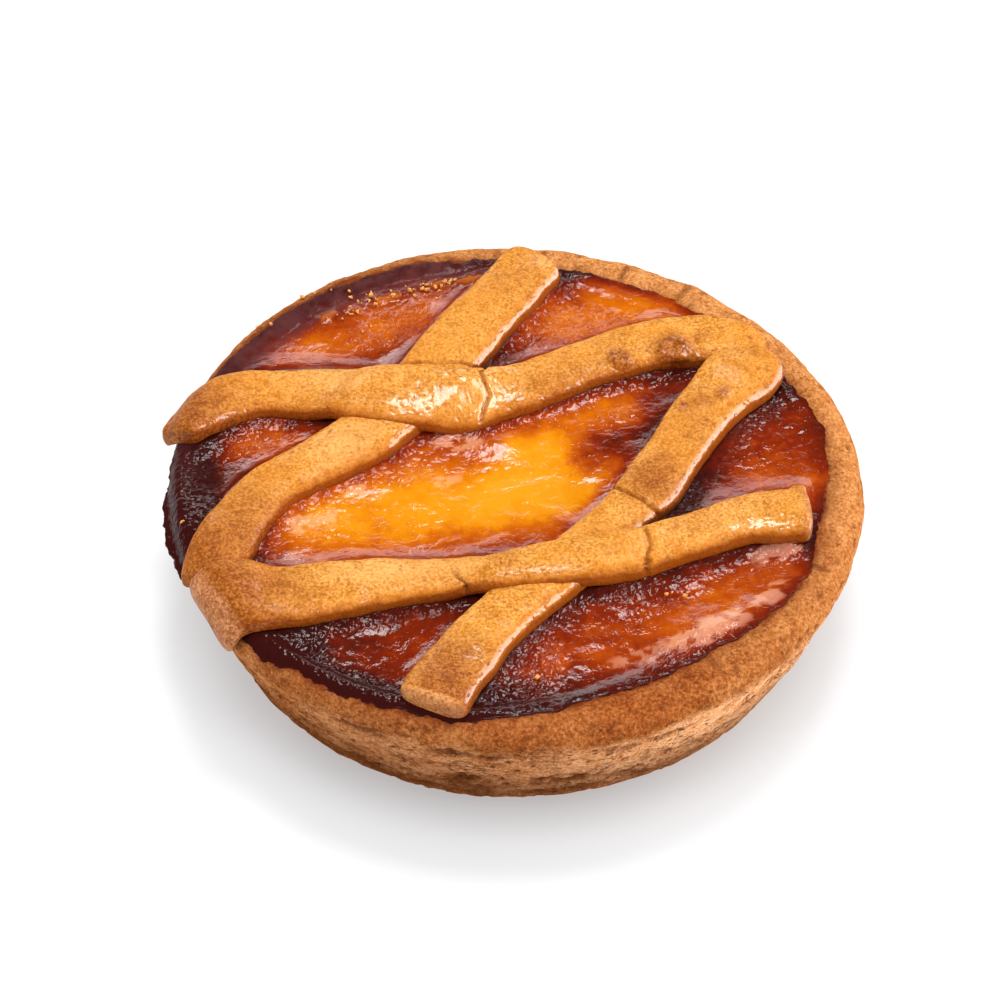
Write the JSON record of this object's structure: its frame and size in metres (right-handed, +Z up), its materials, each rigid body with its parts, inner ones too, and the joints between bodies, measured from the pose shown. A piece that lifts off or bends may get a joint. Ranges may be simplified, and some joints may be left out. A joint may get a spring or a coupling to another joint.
{
  "type": "pastiera",
  "caption": "Single-portion lattice tart: a tapered shortcrust case with a rounded rim, a glazed baked filling level with it, and flat lattice strips laid across the top.",
  "frame": {"origin": "middle of the case's flat underside, on the surface that the tart stands on", "axes": "+Z up, along the case's axis; -Y towards the side where the near strip crosses the right one, +X to the right seen from there"},
  "size_m": [0.1122, 0.1097, 0.0298],
  "materials": {
    "case": "baked shortcrust, orange-brown and dry",
    "filling": "glossy baked filling, golden in the middle and dark caramel at the edges",
    "strip": "golden baked dough under a thin glaze"
  },
  "bodies": {
    "root": {"case": "case", "filling": "filling", "strip_back_left": "strip", "strip_far": "strip", "strip_right": "strip", "strip_near": "strip"}
  },
  "joints": []
}
